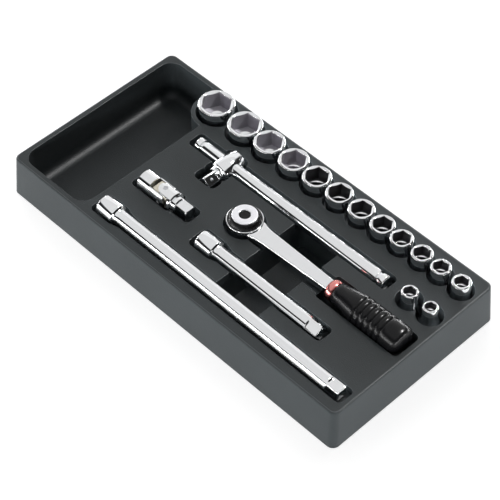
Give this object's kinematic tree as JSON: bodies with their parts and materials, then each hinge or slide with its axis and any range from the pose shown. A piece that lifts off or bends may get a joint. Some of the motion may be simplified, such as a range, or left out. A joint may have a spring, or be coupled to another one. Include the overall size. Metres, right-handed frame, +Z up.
{
  "type": "socket set in a drawer tray",
  "caption": "Moulded drawer tray with hexagon sockets, extension bars, a universal joint, a sliding T-handle and a round-head ratchet.",
  "frame": {"origin": "middle of the tray's footprint, on the surface that the tray stands on", "axes": "+X along the tray from the empty bay to the far end, +Y towards the socket row, +Z up"},
  "size_m": [0.3506, 0.1726, 0.0498],
  "materials": {
    "tray_plastic": "fine matt texture",
    "chrome": "polished chrome plate",
    "plain_steel": "ground",
    "satin_steel": "satin",
    "black_steel": "black, semi-gloss",
    "red_plastic": "gloss",
    "grip_rubber": "soft matt"
  },
  "bodies": {
    "tray": {"tray": "tray_plastic"},
    "socket_22": {"socket_22": "chrome"},
    "socket_21": {"socket_21": "chrome"},
    "socket_19": {"socket_19": "chrome"},
    "socket_18": {"socket_18": "chrome"},
    "socket_17": {"socket_17": "chrome"},
    "socket_16": {"socket_16": "chrome"},
    "socket_15": {"socket_15": "chrome"},
    "socket_14": {"socket_14": "chrome"},
    "socket_13": {"socket_13": "chrome"},
    "socket_12": {"socket_12": "chrome"},
    "socket_11": {"socket_11": "chrome"},
    "socket_10": {"socket_10": "chrome"},
    "socket_9": {"socket_9": "chrome"},
    "socket_8": {"socket_8": "chrome"},
    "long_extension": {"long_bar": "chrome"},
    "long_detent": {"long_ball": "plain_steel"},
    "short_extension": {"short_bar": "chrome"},
    "short_detent": {"short_ball": "plain_steel"},
    "universal_joint": {"joint_socket_yoke": "chrome"},
    "joint_centre": {"joint_block": "plain_steel", "joint_pin_across": "plain_steel", "joint_pin_upper": "plain_steel", "joint_pin_lower": "plain_steel"},
    "joint_drive": {"joint_drive_yoke": "chrome"},
    "joint_detent": {"joint_ball": "plain_steel"},
    "t_handle": {"tee_bar": "chrome"},
    "slider": {"tee_slider": "chrome"},
    "slider_detent": {"tee_ball": "plain_steel"},
    "ratchet": {"ratchet_handle": "chrome", "ratchet_collar": "red_plastic", "ratchet_grip": "grip_rubber", "pawl_pin": "plain_steel"},
    "drive": {"ratchet_gear": "chrome", "button_spring": "plain_steel"},
    "reverser": {"reversing_ring": "black_steel", "ratchet_disc": "satin_steel"},
    "pawl": {"ratchet_pawl": "plain_steel"},
    "button": {"release_button": "black_steel"},
    "drive_detent": {"ratchet_ball": "plain_steel"}
  },
  "joints": [
    {"name": "socket_22_lift", "type": "slide", "parent": "tray", "child": "socket_22", "axis": [0, 0, 1], "range_m": [0, 0.06]},
    {"name": "socket_21_lift", "type": "slide", "parent": "tray", "child": "socket_21", "axis": [0, 0, 1], "range_m": [0, 0.06]},
    {"name": "socket_19_lift", "type": "slide", "parent": "tray", "child": "socket_19", "axis": [0, 0, 1], "range_m": [0, 0.06]},
    {"name": "socket_18_lift", "type": "slide", "parent": "tray", "child": "socket_18", "axis": [0, 0, 1], "range_m": [0, 0.06]},
    {"name": "socket_17_lift", "type": "slide", "parent": "tray", "child": "socket_17", "axis": [0, 0, 1], "range_m": [0, 0.06]},
    {"name": "socket_16_lift", "type": "slide", "parent": "tray", "child": "socket_16", "axis": [0, 0, 1], "range_m": [0, 0.06]},
    {"name": "socket_15_lift", "type": "slide", "parent": "tray", "child": "socket_15", "axis": [0, 0, 1], "range_m": [0, 0.06]},
    {"name": "socket_14_lift", "type": "slide", "parent": "tray", "child": "socket_14", "axis": [0, 0, 1], "range_m": [0, 0.06]},
    {"name": "socket_13_lift", "type": "slide", "parent": "tray", "child": "socket_13", "axis": [0, 0, 1], "range_m": [0, 0.06]},
    {"name": "socket_12_lift", "type": "slide", "parent": "tray", "child": "socket_12", "axis": [0, 0, 1], "range_m": [0, 0.06]},
    {"name": "socket_11_lift", "type": "slide", "parent": "tray", "child": "socket_11", "axis": [0, 0, 1], "range_m": [0, 0.06]},
    {"name": "socket_10_lift", "type": "slide", "parent": "tray", "child": "socket_10", "axis": [0, 0, 1], "range_m": [0, 0.06]},
    {"name": "socket_9_lift", "type": "slide", "parent": "tray", "child": "socket_9", "axis": [0, 0, 1], "range_m": [0, 0.06]},
    {"name": "socket_8_lift", "type": "slide", "parent": "tray", "child": "socket_8", "axis": [0, 0, 1], "range_m": [0, 0.06]},
    {"name": "long_extension_lift", "type": "slide", "parent": "tray", "child": "long_extension", "axis": [0, 0, 1], "range_m": [0, 0.06]},
    {"name": "long_detent_press", "type": "slide", "parent": "long_extension", "child": "long_detent", "axis": [0, -1, 0], "range_m": [0, 0.0008], "stiffness_N_per_m": 400},
    {"name": "short_extension_lift", "type": "slide", "parent": "tray", "child": "short_extension", "axis": [0, 0, 1], "range_m": [0, 0.06]},
    {"name": "short_detent_press", "type": "slide", "parent": "short_extension", "child": "short_detent", "axis": [0, -0.8387, -0.5446], "range_m": [0, 0.0008], "stiffness_N_per_m": 400},
    {"name": "universal_joint_lift", "type": "slide", "parent": "tray", "child": "universal_joint", "axis": [0, 0, 1], "range_m": [0, 0.06]},
    {"name": "joint_tilt", "type": "hinge", "parent": "universal_joint", "child": "joint_centre", "pos_m": [-0.0599, -0.027, 0.0375], "axis": [0, -1, 0], "range_deg": [0, 45]},
    {"name": "joint_swivel", "type": "hinge", "parent": "joint_centre", "child": "joint_drive", "pos_m": [-0.0599, -0.027, 0.0375], "axis": [0, 0, 1], "range_deg": [-5, 5]},
    {"name": "joint_detent_press", "type": "slide", "parent": "joint_drive", "child": "joint_detent", "axis": [0, -1, 0], "range_m": [0, 0.0008], "stiffness_N_per_m": 400},
    {"name": "t_handle_lift", "type": "slide", "parent": "tray", "child": "t_handle", "axis": [0, 0, 1], "range_m": [0, 0.06]},
    {"name": "slider_slide", "type": "slide", "parent": "t_handle", "child": "slider", "axis": [1, 0, 0], "range_m": [-0.0018, 0.0018]},
    {"name": "slider_detent_press", "type": "slide", "parent": "slider", "child": "slider_detent", "axis": [-1, 0, 0], "range_m": [0, 0.0008], "stiffness_N_per_m": 400},
    {"name": "ratchet_lift", "type": "slide", "parent": "tray", "child": "ratchet", "axis": [0, 0, 1], "range_m": [0, 0.06]},
    {"name": "drive_spin", "type": "hinge", "parent": "ratchet", "child": "drive", "pos_m": [0.0018, -0.0034, 0.0375], "axis": [0, 0, 1], "continuous": true},
    {"name": "reverser_turn", "type": "hinge", "parent": "ratchet", "child": "reverser", "pos_m": [0.0018, -0.0034, 0.0375], "axis": [0, 0, 1], "range_deg": [0, 40]},
    {"name": "pawl_rock", "type": "hinge", "parent": "ratchet", "child": "pawl", "pos_m": [0.0132, -0.0034, 0.0375], "axis": [0, 0, 1], "range_deg": [-10, 0]},
    {"name": "button_press", "type": "slide", "parent": "drive", "child": "button", "axis": [0, 0, -1], "range_m": [0, 0.0022], "stiffness_N_per_m": 800, "deforming": ["button_spring"]},
    {"name": "drive_detent_press", "type": "slide", "parent": "drive", "child": "drive_detent", "axis": [0, -1, 0], "range_m": [0, 0.0008]}
  ],
  "couplings": [
    {"joint": "pawl_rock", "follows": "reverser_turn", "ratio": -0.25},
    {"joint": "drive_detent_press", "follows": "button_press", "ratio": 0.3626}
  ]
}
